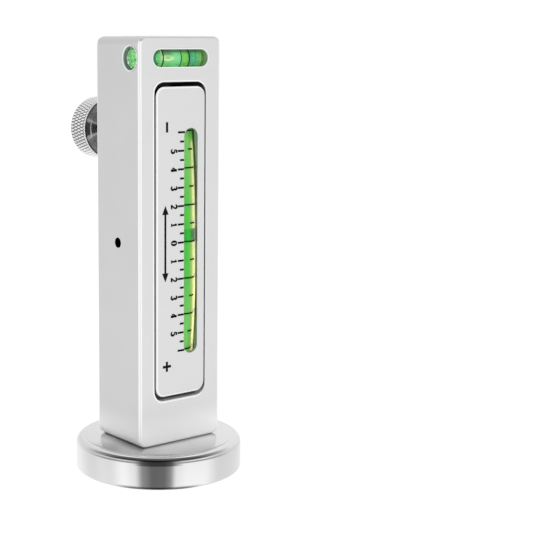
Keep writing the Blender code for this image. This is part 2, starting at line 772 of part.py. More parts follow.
def make_cross_vial():
    place = (0, cross_axis_y, cross_axis_z)
    chamber_start = cross_vial_start + chamber_wall
    outer = cross_vial_radius
    barrel = [(0, chamber_start), (chamber_radius, chamber_start), (chamber_radius, cross_vial_end)]
    barrel += [(outer, cross_vial_end), (outer, cross_vial_start + cross_vial_chamfer)]
    barrel += [(outer - cross_vial_chamfer, cross_vial_start), (0, cross_vial_start)]
    finish(turned("cross_vial_barrel", barrel, middle_segments, along_x, place), clear_acrylic)

    fill = chamber_radius - seat_gap
    plug_start = cross_vial_end - cross_plug_length
    start = chamber_start + seat_gap
    end = plug_start - seat_gap
    liquid = rod("cross_vial_liquid", fill, start, end, middle_segments, along_x, place)
    half_sizes = (cross_bubble_length / 2, cross_bubble_depth, fill)
    bubble_place = (cross_bubble_shift, cross_axis_y - fill, cross_axis_z)
    cut(liquid, ellipsoid("cross_bubble", half_sizes, bubble_place))
    finish(liquid, green_liquid)

    plug = rod("cross_vial_plug", fill, plug_start, cross_vial_end, middle_segments, along_x, place)
    finish(plug, white_plastic)


def carry(name, place, pieces):
    # An empty on the joint's axis carries the pieces that move with it.
    empty = bpy.data.objects.new(name, None)
    gauge.objects.link(empty)
    empty.location = place
    bpy.context.view_layer.update()
    for piece in pieces:
        piece.parent = empty
        piece.matrix_parent_inverse = empty.matrix_world.inverted()
    return empty


make_magnet()
make_body()
make_cross_vial()
make_pin()
make_spring()

rocker = [make_plate(), make_carrier(), make_thrust_pad()]
rocker += make_plate_screws()
rocker += make_bushes()
rocker += make_camber_vial()
rocker += make_cushions()
carry("rocker_axis", (0, pivot_y, body_middle), rocker)

travel = carry("screw_travel_axis", (0, tip_front, screw_height), [make_tip()])
turning = carry("knob_axis", (0, knob_face, screw_height), [make_screw(), *make_knob()])
turning.parent = travel
turning.matrix_parent_inverse = travel.matrix_world.inverted()
bpy.context.view_layer.update()
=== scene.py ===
import math

import bmesh
import bpy
import numpy as np
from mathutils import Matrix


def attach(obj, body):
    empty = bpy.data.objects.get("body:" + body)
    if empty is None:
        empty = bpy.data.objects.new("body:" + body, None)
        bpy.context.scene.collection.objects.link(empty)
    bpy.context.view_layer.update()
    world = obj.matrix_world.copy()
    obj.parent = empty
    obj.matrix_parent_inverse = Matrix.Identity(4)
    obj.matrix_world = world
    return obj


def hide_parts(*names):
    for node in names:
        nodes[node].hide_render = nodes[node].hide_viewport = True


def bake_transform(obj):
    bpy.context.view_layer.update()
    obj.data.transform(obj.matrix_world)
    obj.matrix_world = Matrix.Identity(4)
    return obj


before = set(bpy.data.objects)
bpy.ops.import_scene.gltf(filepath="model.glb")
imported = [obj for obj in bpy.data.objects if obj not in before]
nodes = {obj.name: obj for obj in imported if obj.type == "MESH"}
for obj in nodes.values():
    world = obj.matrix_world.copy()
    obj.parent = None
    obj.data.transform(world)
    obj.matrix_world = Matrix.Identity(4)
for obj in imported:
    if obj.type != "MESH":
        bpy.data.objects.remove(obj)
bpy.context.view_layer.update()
mm = 0.001

# Places that several pieces share, in millimetres. The scale faces -Y and the magnet stands on z 0.
gauge = dict(
    front=-13,
    zero=83.55,  # height of the scale's zero and of the cross pin
    degree=6.45,  # one degree on the scale
    slotMiddle=4.5,
    screwHeight=121.55,
    crossVial=(0, -7.5, 147.8),  # a place on the cross vial's axis, in the gauge's middle plane
)
front, zero, slotMiddle = gauge["front"], gauge["zero"], gauge["slotMiddle"]
screwHeight, crossVial = gauge["screwHeight"], gauge["crossVial"]

# How near points or faces lie that become one, in millimetres and degrees.
nearness = dict(weld=0.0005, degenerate=0.0001, cadWeld=0.002, flat=0.4)


def newObject(name, data):
    made = bpy.data.objects.new(name, data)
    bpy.context.scene.collection.objects.link(made)
    return made


def newPiece(name, shape, finish, body, sharp=30, replaced=(), ring=False):
    # Every piece gets its finish and rides on its CAD body, if it has one.
    # Its shape is a mesh, or the grid or grids for one.
    mesh = shape if isinstance(shape, bpy.types.Mesh) else gridMesh(name, shape, ring)
    piece = newObject(name, mesh)
    mesh.materials.clear()
    mesh.materials.append(finish.material)
    mesh.polygons.foreach_set("use_smooth", np.ones(len(mesh.polygons), bool))
    mesh.set_sharp_from_angle(angle=math.radians(sharp))
    if body:
        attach(piece, body)
    if replaced:
        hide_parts(*replaced)
    return piece


def gridMesh(name, grids, ring=False):
    # One closed mesh from one grid of points (rows, columns, xyz) in millimetres, or from several.
    # The last column joins the first, and with ring the last row too.
    points, faces, start = [], [], 0
    for grid in grids if isinstance(grids, list) else [grids]:
        number = start + np.arange(grid[..., 0].size).reshape(grid.shape[:2])
        number = np.hstack([number, number[:, :1]])
        if ring:
            number = np.vstack([number, number[:1]])
        corners = (number[:-1, :-1], number[:-1, 1:], number[1:, 1:], number[1:, :-1])
        points.append(grid.reshape(-1, 3))
        faces.append(np.stack(corners, axis=-1).reshape(-1, 4))
        start += len(points[-1])
    mesh = bpy.data.meshes.new(name)
    mesh.from_pydata((np.concatenate(points) * mm).tolist(), [], np.concatenate(faces).tolist())

    # Seams and poles close, and the faces of the closed shell turn outwards.
    shape = bmesh.new()
    shape.from_mesh(mesh)
    bmesh.ops.remove_doubles(shape, verts=shape.verts, dist=nearness["weld"] * mm)
    bmesh.ops.dissolve_degenerate(shape, edges=shape.edges, dist=nearness["degenerate"] * mm)
    bmesh.ops.recalc_face_normals(shape, faces=shape.faces)
    shape.to_mesh(mesh)
    shape.free()
    return mesh


def alongX(points, place=(0, 0, 0)):
    # A shape made about its own Z lies along X instead.
    return points[..., [2, 1, 0]] * (1, 1, -1) + np.array(place, float)


def alongY(points, place=(0, 0, 0)):
    return points[..., [0, 2, 1]] * (1, 1, -1) + np.array(place, float)


def fullTurn(count):
    return np.arange(count) * 2 * np.pi / count


def circle(angle):
    return np.stack([np.cos(angle), np.sin(angle)], axis=-1)


def arcOf(centre, radius, fromAngle, toAngle, steps=10):
    # Points (radius, height) of a quarter round or any arc of a profile.
    angle = np.radians(np.linspace(fromAngle, toAngle, steps + 1))
    return list(zip(centre[0] + radius * np.cos(angle), centre[1] + radius * np.sin(angle)))


def rings(radius, height, count):
    # Rows of points about Z: x = r cos a, y = r sin a, z = height.
    angle = fullTurn(count)
    return np.stack(np.broadcast_arrays(radius * np.cos(angle), radius * np.sin(angle), height), axis=-1)


def turnedGrid(profile, count):
    # A profile of (radius, height) carried round Z.
    radius, height = np.array(profile, float).T[..., None]
    return rings(radius, height, count)


def boxSection(low, high, start, end):
    return [(low, start), (high, start), (high, end), (low, end)]


def fetched(items, key, width=1, kind=np.int32):
    # One row of values for each point, corner or face of a mesh.
    values = np.empty(len(items) * width, kind)
    items.foreach_get(key, values)
    return values.reshape(-1, width)


def copyOfNode(name):
    # The CAD node's loose triangles as one welded mesh, with flat areas joined to single faces.
    source = nodes[name].data
    points = fetched(source.vertices, "co", 3, np.float32).astype(float)
    cells = np.round(points / (nearness["cadWeld"] * mm)).astype(np.int64)
    first, inverse = np.unique(cells, axis=0, return_index=True, return_inverse=True)[1:]
    faces = inverse.reshape(-1)[fetched(source.loops, "vertex_index")].reshape(-1, 3)
    whole = (faces != np.roll(faces, 1, axis=1)).all(axis=1)
    mesh = bpy.data.meshes.new(name + "_dressed")
    mesh.from_pydata(points[first].tolist(), [], faces[whole].tolist())
    shape = bmesh.new()
    shape.from_mesh(mesh)
    flat = math.radians(nearness["flat"])
    bmesh.ops.dissolve_limit(shape, angle_limit=flat, verts=shape.verts, edges=shape.edges)
    shape.to_mesh(mesh)
    shape.free()
    return mesh


def faceData(mesh):
    # Middles in millimetres and normals of all faces, each as rows of x, y and z.
    middle, normal = (fetched(mesh.polygons, key, 3, np.float32).T for key in ("center", "normal"))
    return middle / mm, normal


def paintFaces(mesh, finish, chosen):
    # Some faces of a piece get a finish of their own.
    index = fetched(mesh.polygons, "material_index")[:, 0]
    mesh.materials.append(finish.material)
    index[chosen] = len(mesh.materials) - 1
    mesh.polygons.foreach_set("material_index", index)


def brokenEdges(mesh, depth):
    # The broken edges of the front and back, and of the bore in the left side.
    (x, y, z), normal = faceData(mesh)
    lean = np.abs(normal)
    edge = (np.abs(y) > depth) & (lean[1] > 0.12) & (lean[1] < 0.985)
    bore = np.hypot(y - crossVial[1], z - crossVial[2]) < 5.2
    return edge | (bore & (x < -17.4) & (lean[0] > 0.3) & (lean[0] < 0.95))


def dress(name, finish, body, bevel=0):
    # A CAD node's own shape with smooth rounds, flat flats and, if asked, a broken edge.
    piece = newPiece(name + "_finish", copyOfNode(name), finish, body, 32, (name,))
    if bevel:
        edge = piece.modifiers.new("brokenEdge", "BEVEL")
        edge.width, edge.segments = bevel * mm, 2
        edge.limit_method, edge.angle_limit = "ANGLE", math.radians(35)
    level = piece.modifiers.new("flatFaces", "WEIGHTED_NORMAL")
    level.keep_sharp = True
    return piece


def opaque(colour):
    # A colour's parts and its alpha. A single number stands for a grey.
    return (*colour, 1) if isinstance(colour, tuple) else (colour, colour, colour, 1)


def fill(tree, node, values):
    # A node's sockets go by name, with _ for a space, or by number, as in _6.
    for key, item in values.items():
        socket = node.inputs[int(key[1:]) if key[1:].isdigit() else key.replace("_", " ")]
        if isinstance(item, Value):
            tree.links.new(item.socket, socket)
        else:
            socket.default_value = opaque(item) if socket.type == "RGBA" else item


def addNode(tree, kind, settings=None, output=0, **values):
    # Settings first, such as an operation, then the sockets' values or links.
    made = tree.nodes.new(kind)
    for key, item in (settings or {}).items():
        setattr(made, key, item)
    fill(tree, made, values)
    return Value(tree, made.outputs[output])


def mathNode(operation):
    return lambda *inputs: inputs[0].math(operation, *inputs)


class Value:
    # A shader socket: sums and products make Math nodes, the other methods shape and colour it.
    def __init__(self, tree, socket):
        self.tree, self.socket = tree, socket

    def math(self, operation, *inputs):
        return addNode(self.tree, "ShaderNodeMath", {"operation": operation}, **dict(zip(("_0", "_1"), inputs)))

    def __rsub__(self, other):
        return self.math("SUBTRACT", other, self)

    def __rtruediv__(self, other):
        return self.math("DIVIDE", other, self)

    __add__ = __radd__ = mathNode("ADD")
    __mul__ = __rmul__ = mathNode("MULTIPLY")
    __sub__, __truediv__ = mathNode("SUBTRACT"), mathNode("DIVIDE")
    __abs__, root, highest = mathNode("ABSOLUTE"), mathNode("SQRT"), mathNode("MAXIMUM")

    def smooth(self, low, high, toLow=0, toHigh=1):
        # A soft step from one number to another.
        return addNode(self.tree, "ShaderNodeMapRange", {"interpolation_type": "SMOOTHSTEP"}, Value=self,
                       From_Min=low, From_Max=high, To_Min=toLow, To_Max=toHigh)

    def between(self, rise, risen, fall, fallen):
        # A soft step up and a soft step down.
        return self.smooth(rise, risen) * self.smooth(fallen, fall)

    def ramp(self, *stops, easing="LINEAR"):
        made = addNode(self.tree, "ShaderNodeValToRGB", Fac=self)
        ramp = made.socket.node.color_ramp
        ramp.interpolation = easing
        while len(ramp.elements) < len(stops):
            ramp.elements.new(0.5)
        for element, (position, colour) in zip(ramp.elements, stops):
            element.position = position
            element.color = opaque(colour)
        return made

    def spread(self, width, wander, stops):
        # A ramp whose stops are distances in millimetres, over a width about 0.
        return (self / width + 0.5 + wander).ramp(*[(at / width + 0.5, colour) for at, colour in stops])

    def blend(self, first, second):
        # The first colour with this share of the second.
        return addNode(self.tree, "ShaderNodeMix", {"data_type": "RGBA"}, 2, _0=self, _6=first, _7=second)

    def coats(self, *coats):
        # Coats of (share, colour) over this tone, the last one on top.
        tone = self
        for share, colour in coats:
            tone = share.blend(tone, colour)
        return tone


class Finish:
    # A material, or the world, with its own way to add nodes.
    def __init__(self, name, owner=None, **sockets):
        self.material = owner or bpy.data.materials.new(name)
        self.material.use_nodes = True
        self.tree = self.material.node_tree
        self.shader = self.tree.nodes.get("Principled BSDF") or self.tree.nodes.get("Background")
        self.feed(**sockets)

    def feed(self, **sockets):
        fill(self.tree, self.shader, sockets)
        return self

    def glow(self, tone):
        return self.feed(Base_Color=tone, Emission_Color=tone)

    def node(self, kind, **values):
        return addNode(self.tree, kind, **values)

    def place(self, scale=(1, 1, 1), location=(0, 0, 0)):
        # Object coordinates in millimetres, moved and stretched by a Mapping node.
        coordinates = self.node("ShaderNodeTexCoord", output="Object")
        size = tuple(1000 * item for item in scale)
        return self.node("ShaderNodeMapping", Vector=coordinates, Location=location, Scale=size)

    def axes(self, vector):
        split = self.node("ShaderNodeSeparateXYZ", Vector=vector).socket.node
        return [Value(self.tree, socket) for socket in split.outputs]

    def away(self, x=0, y=0, z=0):
        # How far a point lies from a place along each axis, in millimetres.
        return self.axes(self.place(location=(-x, -y, -z)))

    def noise(self, scale, detail=2, roughness=0.5, stretch=(1, 1, 1), vector=None):
        # The scale is the number of grains in a millimetre. A small stretch draws them out.
        return self.node("ShaderNodeTexNoise", Vector=vector or self.place(stretch), Scale=scale, Detail=detail,
                         Roughness=roughness)


def metalFinish(name, colour, roughness, grain, grainBump=0, wander=0.03, stretch=(1, 1, 1), metallic=1, paintedLift=()):
    # Metal with a fine grain in its gloss and slow patches in its tone, which strays by the
    # wander. It can be paled below a height with painted light: (full, none, share).
    metal = Finish(name, Metallic=metallic)
    fine, slow = metal.noise(grain, 3, 0.6, stretch), metal.noise(0.06, 3, 0.55)
    dark, light = (tuple(min(1, part * share) for part in opaque(colour)[:3])
                   for share in (1 - 2.2 * wander, 1 + 1.2 * wander))
    tone = (fine * 0.45 + slow * 0.55).blend(dark, light)
    if paintedLift:
        full, none, share = paintedLift
        tone = (metal.away()[2].smooth(none, full) * share).blend(tone, 1)
    metal.feed(Base_Color=tone, Roughness=roughness * 0.82 + fine * (roughness * 0.36))
    if grainBump:
        metal.feed(Normal=metal.node("ShaderNodeBump", Height=fine, Strength=0.5, Distance=grainBump * mm))
    return metal


def pocketFinish():
    # Painted light and shade: pale at the upper end, darker down the sides, two tones in the lower gap, where the lower
    # wall glows and is painted darker deep in and at its left.
    wall = metalFinish("pocketWall", 0.7, 0.44, 5.5, metallic=0.8)
    across, inwards, height = wall.away()
    lowWall = height.smooth(30, 28)
    hollowShade = inwards.smooth(-10.8, -10).highest(across.smooth(-7.5, -9.5)) * lowWall
    tone = (height / 160).ramp((0.179, 0.95), (0.2, 0.25), (0.5, 0.5), (0.85, 0.95), (0.868, 0.1))
    return wall.feed(Base_Color=(hollowShade * 0.8).blend(tone, 0.03), Emission_Strength=0.075,
                     Emission_Color=(lowWall * (1 - hollowShade * 0.6)).blend(0, 1))


def plateWallFinish():
    # Painted shade: the plate's outer wall darkens upwards.
    wall = metalFinish("plateWall", 0.7, 0.4, 3.2, metallic=0.8)
    return wall.feed(Base_Color=(wall.away()[2] / 160).ramp((0.2, 0.6), (0.5, 0.2), (0.84, 0.02)))


def slotFinish():
    # The slot's wall darkens inwards, and less so towards its ends.
    wall = metalFinish("slotShade", (0.075, 0.07, 0.055), 0.45, 3, wander=0.1, metallic=0.3)
    inwards, height = wall.away(z=zero)[1:]
    shade = (inwards + 13).ramp((0.1, (0.62, 0.61, 0.58)), (0.45, (0.16, 0.15, 0.12)), (0.9, (0.05, 0.046, 0.035)))
    lighter = height.smooth(18, 34) * 0.7 + height.smooth(-24, -34) * 0.55
    return wall.feed(Base_Color=lighter.blend(shade, (0.5, 0.55, 0.52)))


def channelFinish():
    # Painted light and shade, glowing as if lit by the vial: pale, then dark, then grey towards the
    # slot. The border lies deeper the further it is from the zero, as the vial bends back.
    side = Finish("channelGlow", Roughness=0.5, Emission_Strength=0.35)
    inwards, along = side.away(z=zero)[1:]
    above = along.smooth(-8, 8)
    border = above * 0.4 - 10.35 + along * along * (above * 0.00038 + 0.00107)
    past = (border - inwards) / (above * 0.5 + 0.8)
    return side.glow(side.noise(0.8).blend((0.74, 0.69, 0.43), (0.92, 0.87, 0.58)).coats(
        (along.smooth(33, 36) * 0.9, (0.1, 0.3, 0.05)), (past.smooth(-0.1, 0.15), (0.025, 0.07, 0.01)),
        (past.smooth(0.85, 1.1), (0.24, 0.29, 0.24))))


def plugFinish():
    # Painted light: the plug glows, and seen through the barrel shows green bands, then an olive one and a pale end.
    plug = Finish("litPlug", Roughness=0.42, Emission_Strength=0.35)
    share = (plug.away()[0] - 10) / 4 + (plug.noise(1.2) - 0.5) * 0.03
    return plug.glow(share.ramp((0.16, (0.2, 0.55, 0.08)), (0.22, (0.06, 0.24, 0.02)), (0.4, (0.07, 0.24, 0.02)),
                                (0.48, (0.22, 0.34, 0.1)), (0.6, (0.27, 0.3, 0.17)), (0.72, (0.5, 0.48, 0.4))))


# Painted light pales the body towards its foot, by the magnet.
blasted = metalFinish("blastedAluminium", (0.715, 0.715, 0.717), 0.44, 5.5, 0.012, metallic=0.8, paintedLift=(12, 25, 0.75))
plateSatin = metalFinish("plateAluminium", (0.705, 0.705, 0.707), 0.4, 3.2, 0.006, 0.025, (0.35, 1, 1), 0.8)
# Painted highlight: a nearly white tone for broken edges and bright rings.
paintedHighlight = metalFinish("paintedHighlight", 0.97, 0.4, 3, wander=0.01, metallic=0.25)
milled = metalFinish("milledAluminium", (0.62, 0.62, 0.63), 0.36, 2.4, 0.01, 0.06, (0.15, 1, 1))
plated = metalFinish("platedSteel", 0.78, 0.13, 0.9, stretch=(1, 1, 6))
turnedMetal = metalFinish("turnedSteel", 0.62, 0.24, 2.2, 0.006, 0.08)
hard = metalFinish("hardSteel", (0.33, 0.33, 0.34), 0.26, 1.8, 0.004, 0.06)
# Black steel, also laid in the pin hole as painted shade.
blackSteelAndShade = metalFinish("blackSteel", (0.016, 0.016, 0.017), 0.42, 2, 0.006, 0.15)
springWire = metalFinish("springSteel", 0.42, 0.3, 1.6, 0.004, 0.08)
bronze = metalFinish("bronze", (0.55, 0.36, 0.17), 0.38, 2.2, 0.008, 0.1)
ferrite = metalFinish("ferrite", (0.07, 0.07, 0.072), 0.66, 1.6, 0.03, 0.2, metallic=0)
resin = metalFinish("resin", (0.025, 0.025, 0.027), 0.4, 0.5, 0.02, 0.2, metallic=0)
whitePlastic = metalFinish("whitePlastic", (0.78, 0.8, 0.75), 0.42, 1.2, 0.008, metallic=0)
softRubber = metalFinish("softRubber", (0.05, 0.06, 0.05), 0.75, 1.8, 0.02, 0.2, metallic=0)
# Painted shade for the edge at the cross vial bubble's end.
meniscusShade = metalFinish("meniscusShade", (0.003, 0.06, 0.035), 0.5, 3, wander=0.3, metallic=0)
blackInk = metalFinish("blackInk", 0.004, 0.6, 3, wander=0.3, metallic=0).feed(Specular_IOR_Level=0.1)
greenInk = metalFinish("greenInk", (0.006, 0.045, 0.01), 0.5, 3, wander=0.3, metallic=0).feed(Specular_IOR_Level=0.1)

print("materials ready")


def dressedParts():
    # The CAD's own solids that keep their shape.
    kept = (
        (blackSteelAndShade, "pivot_pin", "knob_grub_screw", "plate_screw_1", "plate_screw_2", "plate_screw_3", "plate_screw_4"),
        (hard, "screw_tip", "thrust_pad"), (bronze, "pivot_bush_left", "pivot_bush_right"),
        (ferrite, "magnet_ring"), (plated, "magnet_pole"), (resin, "magnet_potting"),
        (whitePlastic, "camber_vial_cap_upper", "camber_vial_cap_lower"),
    )
    for finish, *names in kept:
        for name in names:
            nodes[name].data.materials.clear()
            nodes[name].data.materials.append(finish.material)

    # The limits of the painted areas.
    area = dict(bodyEdge=12.05, belowTop=153.6, pocketWidth=11.4, pocketHeight=57, pocketDepth=4, pinHole=2.1,
                pinHoleSide=-11.5, plateEdge=12.7, slot=3.2, slotHeight=37.1, plateWidth=9, plateHeight=51,
                channel=6.5, channelFront=-10.2, channelHeight=45, lean=0.3)
    body = dress("body", blasted, "housing").data
    (x, y, z), normal = faceData(body)
    above, wall = np.abs(z - zero), np.abs(normal[1]) < area["lean"]
    # The body's broken edges get a painted highlight, below its top.
    paintFaces(body, paintedHighlight, brokenEdges(body, area["bodyEdge"]) & (z < area["belowTop"]))
    pocket = (np.abs(x) < area["pocketWidth"]) & (above < area["pocketHeight"]) & (y < area["pocketDepth"])
    paintFaces(body, pocketFinish(), wall & pocket)
    # Painted shade: the pin hole's walls in the body are black.
    paintFaces(body, blackSteelAndShade, (np.hypot(y, z - zero) < area["pinHole"]) & (x < area["pinHoleSide"]))

    plate = dress("scale_plate", plateSatin, "rocker").data
    # The plate's broken edges get a painted highlight.
    paintFaces(plate, paintedHighlight, brokenEdges(plate, area["plateEdge"]))
    (x, y, z), normal = faceData(plate)
    above, wall = np.abs(z - zero), np.abs(normal[1]) < area["lean"]
    slot = np.hypot(x - slotMiddle, np.maximum(above - area["slotHeight"], 0)) < area["slot"]
    paintFaces(plate, slotFinish(), wall & slot)
    outside = (np.abs(x) > area["plateWidth"]) | (above > area["plateHeight"])
    paintFaces(plate, plateWallFinish(), wall & outside)

    carrier = dress("vial_carrier", milled, "rocker").data
    x, y, z = faceData(carrier)[0]
    axisY = camberVial["axisY"] + (z - zero) ** 2 / (2 * camberVial["bend"])
    channel = (np.hypot(x - slotMiddle, y - axisY) < area["channel"]) & (y > area["channelFront"])
    channel &= np.abs(z - zero) < area["channelHeight"]
    print("channel faces", int(channel.sum()))
    paintFaces(carrier, channelFinish(), channel)
    for name in ("vial_cushion_upper", "vial_cushion_lower"):
        dress(name, softRubber, "rocker", bevel=0.25)
    print("CAD solids dressed")


def magnetPlating():
    # Bright plate with dark lines of painted reflection and shade at the rim's round, just below it
    # and at the foot, towards the scale side. ahead is 1 towards that side, and aside is the distance from its middle.
    steel = Finish("magnetPlating", Metallic=1)
    x, y, z = steel.away()
    frontX, frontY = studio["front"]
    radius = (x * x + y * y).root()
    ahead, aside = (x * frontX + y * frontY) / radius, y * frontX - x * frontY
    facing = ahead.smooth(0.48, 0.85)
    rim = z.between(10.2, 10.4, 11, 11.2) * facing * ahead.smooth(0.8, 0.97, 0.72, 0.92)
    paintedMidLine = z.between(9.2, 9.4, 9.8, 9.95) * facing
    centre = ahead.smooth(0.95, 0.99) * z.between(8.3, 8.8, 11, 11.2)
    foot = z.smooth(1.4, 0.7) * ahead.smooth(0.84, 0.97)
    line = rim.highest(paintedMidLine * 0.6).highest(foot * 0.85).highest(centre * 0.72) * radius.smooth(27, 27.5)
    # Painted shade greys the step's face towards the scale side.
    step = radius.between(26.6, 26.72, 27, 27.15) * z.smooth(11.3, 11.45)
    # Painted shade darkens the top plate towards the scale side, more at its left, and the left of the wall.
    depth = aside.smooth(-3, 3, 0.24, 0.11) + aside.smooth(-12, -16) * 0.16
    topShade = radius.smooth(26.8, 26.6) * ahead.smooth(0.4, 0.8) * depth
    wall = radius.smooth(29.4, 29.8) * aside.smooth(-22, -15) * 0.1
    fine = steel.noise(0.9, 3, 0.6, (1, 1, 6))
    tone = (fine * 0.5 + steel.noise(0.06, 3) * 0.5).blend(0.74, 0.82).coats(
        (step * ahead.smooth(0.3, 0.8) * 0.75, 0.34), (topShade + wall, 0), (line, (0.03, 0.03, 0.032)))
    return steel.feed(Base_Color=tone, Roughness=fine * 0.04 + 0.09)


def magnetCup():
    # Turned about Z: rounded rim, a flat top a little proud inside it, the stud's hole and an
    # open underside.
    cup = dict(radius=30, height=11.5, rimRound=2.4, footRound=0.9, wall=4.2, base=3.6, hole=4.3, washer=15,
               plate=26.7, plateProud=0.27, step=0.3, around=256)
    radius, height, plate, hole = cup["radius"], cup["height"], cup["plate"], cup["hole"]
    rim, foot, inside = radius - cup["rimRound"], radius - cup["footRound"], radius - cup["wall"]
    top, floor = height + cup["plateProud"], height - cup["base"]
    profile = [(hole, top), (cup["washer"], top), (plate - 0.1, top), (plate, top - 0.02),
               (plate + cup["step"], height + 0.01), (rim - 0.1, height)]
    profile += arcOf((rim, height - cup["rimRound"]), cup["rimRound"], 90, 0, 20)
    profile += arcOf((foot, cup["footRound"]), cup["footRound"], 0, -90, 6)
    profile += [(inside, 0), (inside, floor), (hole, floor)]
    newPiece("magnet_cup_turned", turnedGrid(profile, cup["around"]), magnetPlating(), "housing",
             replaced=("magnet_cup",), ring=True)


def knobSteel():
    # Painted light and shade: painted highlights on the ridges, painted shade in the grooves and a turned
    # face whose gloss is painted as sectors of tone: the share |z| / r tells how far a place lies from the level line
    # through the axis.
    steel = Finish("knobSteel", Metallic=0.85)
    x, y, z = steel.away(z=screwHeight)
    radius = (x * x + z * z).root()
    share = abs(z) / radius.highest(0.5)
    fine = steel.noise(2.4, 3, 0.6, (1, 0.4, 1))
    ridge = radius.smooth(11.19, 11.38) * 0.9 + fine * 0.12
    knurl = ridge.ramp((0, 0.012), (0.35, 0.09), (0.6, 0.78), (1, 0.98))
    turning = steel.noise(1, 3, 0.7, vector=steel.node("ShaderNodeCombineXYZ", X=radius * 2.6))
    # A painted highlight on a ring of the face, beside its dish.
    step = abs(radius - 8.45).smooth(0.45, 0.2) * share.smooth(0.5, 0.2)
    sector = (share + (fine - 0.5) * 0.1).ramp(
        (0, 0.07), (0.2, 0.08), (0.26, 0.35), (0.32, 0.85), (0.41, 0.32), (0.55, 0.24), (1, 0.36))
    # Over the sectors: turning marks, that ring, and a ring of painted shade inside the chamfer.
    face = sector.coats((turning.smooth(0.42, 0.62) * 0.4, 0.12), (step * 0.75, 0.95),
                        (radius.smooth(10.3, 10.7) * 0.85, 0.03))
    onFace = radius.smooth(11.14, 11.08).highest(y.smooth(31, 30.9)).highest(y.smooth(39.4, 39.5))
    # The knurl is paler towards its top and bottom, a painted highlight, and the face's chamfer gets a painted
    # highlight.
    tone = knurl.coats((share.smooth(0.6, 0.98) * 0.62, 0.9), (onFace, face),
                       (onFace * radius.smooth(10.95, 11.15), 0.95))
    return steel.feed(Base_Color=tone, Roughness=fine * 0.12 + 0.22)


def knurledKnob():
    # A turned profile whose band is pressed in along two crossing sets of helical grooves:
    # radius = R - depth * the deeper of the two grooves, each a V across its own helix.
    knob = dict(radius=11.6, thickness=9.4, chamfer=0.45, face=30.5, web=1.6, bore=3.3, dishRadius=8.2, dishDepth=0.6,
                grooves=60, helix=math.radians(17), depth=0.45, grooveWidth=0.42, lighterHand=0.88, around=900,
                along=60, grubHole=1.8)
    radius, thickness, bore, around = knob["radius"], knob["thickness"], knob["bore"], knob["around"]
    dish, dishRadius = knob["dishDepth"], knob["dishRadius"]
    inset, end = radius - knob["chamfer"], thickness - knob["web"]
    start = [(0, end), (bore, end), (bore, dish + 0.3), (bore + 0.3, dish), (dishRadius - dish - 0.1, dish),
             (dishRadius - dish, dish + 0.02), (dishRadius, 0), (dishRadius + 0.1, 0), (inset - 0.1, 0), (inset, 0.02)]
    back = [(inset, thickness - 0.02), (inset - 0.1, thickness), (0, thickness)]
    heights = np.linspace(knob["chamfer"], thickness - knob["chamfer"], knob["along"] + 1)
    points = turnedGrid(start + [(radius, height) for height in heights] + back, around)

    rise = heights[:, None] * math.tan(knob["helix"]) / radius
    pressed = 0
    for hand, pressure in ((1, 1), (-1, knob["lighterHand"])):
        turn = (fullTurn(around) + hand * rise) * knob["grooves"] / (2 * np.pi)
        fromGroove = np.abs(turn - np.round(turn))
        pressed = np.maximum(pressed, pressure * (1 - fromGroove / knob["grooveWidth"]))
    band = slice(len(start), len(start) + len(heights))
    points[band, :, :2] *= (1 - knob["depth"] * pressed / radius)[..., None]
    piece = newPiece("knob_knurled", alongY(points, (0, knob["face"], screwHeight)), knobSteel(),
                     "thumb_screw", 40, ("knob",))
    hole = turnedGrid([(0, 0), (knob["grubHole"], 0), (knob["grubHole"], 14), (0, 14)], 32)
    hole = alongX(hole, (0, knob["face"] + thickness / 2, screwHeight))
    cutAway(piece, gridMesh("grub_way", hole), 40)


def cutAway(piece, cutterMesh, sharp):
    # One solid taken out of a piece, whose mesh is then final.
    cutter = newObject("cutter", cutterMesh)
    cut = piece.modifiers.new("cut", "BOOLEAN")
    cut.object, cut.operation, cut.solver = cutter, "DIFFERENCE", "EXACT"
    bpy.context.view_layer.update()
    mesh = bpy.data.meshes.new_from_object(piece.evaluated_get(bpy.context.evaluated_depsgraph_get()))
    mesh.name = piece.name
    piece.modifiers.clear()
    piece.data = mesh
    bpy.data.objects.remove(cutter)
    mesh.set_sharp_from_angle(angle=math.radians(sharp))


def threadedScrew():
    # Radius = R - depth * a blunt V that climbs one pitch a turn, and runs out at both ends.
    screw = dict(radius=3, pitch=1, depth=0.58, front=5.6, end=38, bore=1.5, boreDepth=2.4, around=64,
                 stepsPerPitch=12, flat=1.25, slope=2.9)
    length, around = screw["end"] - screw["front"], screw["around"]
    heights = np.linspace(0, length, int(length * screw["stepsPerPitch"]) + 1)[:, None]
    turn = heights / screw["pitch"] - fullTurn(around) / (2 * np.pi)
    valley = np.clip(screw["flat"] - screw["slope"] * np.abs(turn - np.round(turn)), 0, 1)
    runOut = screw["radius"] - screw["depth"] + np.minimum(heights, length - heights)
    thread = rings(np.minimum(screw["radius"] - screw["depth"] * valley, runOut), heights, around)
    inner = turnedGrid([(0, screw["boreDepth"]), (screw["bore"], screw["boreDepth"]), (screw["bore"], 0)], around)
    outer = turnedGrid([(0, length)], around)
    points = alongY(np.concatenate([inner, thread, outer]), (0, screw["front"], screwHeight))
    newPiece("adjusting_screw_thread", points, turnedMetal, "thumb_screw", 50, ("adjusting_screw",))


